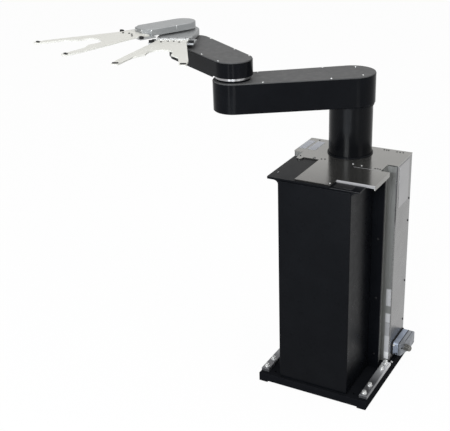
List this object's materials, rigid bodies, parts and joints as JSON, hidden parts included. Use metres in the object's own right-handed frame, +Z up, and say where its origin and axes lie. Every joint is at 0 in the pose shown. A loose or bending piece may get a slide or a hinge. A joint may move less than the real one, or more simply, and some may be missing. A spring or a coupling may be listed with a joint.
{
  "type": "wafer transfer robot",
  "caption": "Floor-standing wafer transfer robot with a lift column, folding arm and stacked fork hands for 300 mm wafers.",
  "frame": {"origin": "middle of the floor bolt pattern, on the floor", "axes": "+Z up, -Y towards the front of the column, +X to its right"},
  "size_m": [1.0071, 0.5485, 0.9761],
  "materials": {
    "black_paint": "semi-gloss black",
    "grey_cover": "matte grey",
    "brushed_stainless": "brushed",
    "turned_steel": "fine turned",
    "hand_aluminium": "bead blasted",
    "ceramic": "off-white ceramic",
    "black_rubber": "matte",
    "die_cast": "grey die-cast"
  },
  "bodies": {
    "base": {"base_plate": "black_paint", "left_clamp_bar": "brushed_stainless", "right_clamp_bar": "brushed_stainless", "front_column": "black_paint", "left_flange_post": "black_paint", "right_flange_post": "black_paint", "left_shoulder": "brushed_stainless", "right_shoulder": "brushed_stainless", "left_wall": "brushed_stainless", "right_wall": "brushed_stainless", "back_wall": "brushed_stainless", "column_cap": "black_paint", "front_top_plate": "brushed_stainless", "rear_top_plate": "brushed_stainless", "collar_ring": "black_paint", "connector_gasket": "black_rubber", "connector_base": "die_cast", "connector_hood": "die_cast", "connector_gland": "die_cast"},
    "lift": {"lift_cylinder": "black_paint", "shoulder_flange": "black_paint"},
    "lower_arm": {"lower_arm_housing": "black_paint", "lower_arm_cover": "grey_cover", "elbow_spacer": "black_paint"},
    "forearm": {"elbow_ring": "turned_steel", "forearm_housing": "black_paint", "forearm_cover": "grey_cover", "forearm_under_cover": "black_paint"},
    "lower_hand": {"lower_hand_housing": "hand_aluminium", "lower_hand_clamp_plate": "hand_aluminium", "lower_hand_fork": "ceramic", "lower_hand_left_rear_pad": "black_rubber", "lower_hand_left_tip_pad": "black_rubber", "lower_hand_right_rear_pad": "black_rubber", "lower_hand_right_tip_pad": "black_rubber", "lower_hub": "black_paint"},
    "upper_hand": {"upper_hand_housing": "hand_aluminium", "upper_hand_clamp_plate": "hand_aluminium", "upper_hand_fork": "ceramic", "upper_hand_left_rear_pad": "black_rubber", "upper_hand_left_tip_pad": "black_rubber", "upper_hand_right_rear_pad": "black_rubber", "upper_hand_right_tip_pad": "black_rubber", "upper_spindle": "turned_steel"}
  },
  "joints": [
    {"name": "lift_slide", "type": "slide", "parent": "base", "child": "lift", "axis": [0, 0, 1], "range_m": [-0.125, 0.225]},
    {"name": "shoulder_turn", "type": "hinge", "parent": "lift", "child": "lower_arm", "pos_m": [-0.006, 0.08, 0], "axis": [0, 0, 1], "range_deg": [-165, 165]},
    {"name": "elbow_turn", "type": "hinge", "parent": "lower_arm", "child": "forearm", "pos_m": [-0.26774, -0.1067, 0], "axis": [0, 0, 1], "range_deg": [-150, 150]},
    {"name": "lower_hand_turn", "type": "hinge", "parent": "forearm", "child": "lower_hand", "pos_m": [-0.5294, 0.06065, 0], "axis": [0, 0, 1], "range_deg": [-170, 170]},
    {"name": "upper_hand_turn", "type": "hinge", "parent": "forearm", "child": "upper_hand", "pos_m": [-0.5294, 0.06065, 0], "axis": [0, 0, 1], "range_deg": [-170, 170]}
  ]
}
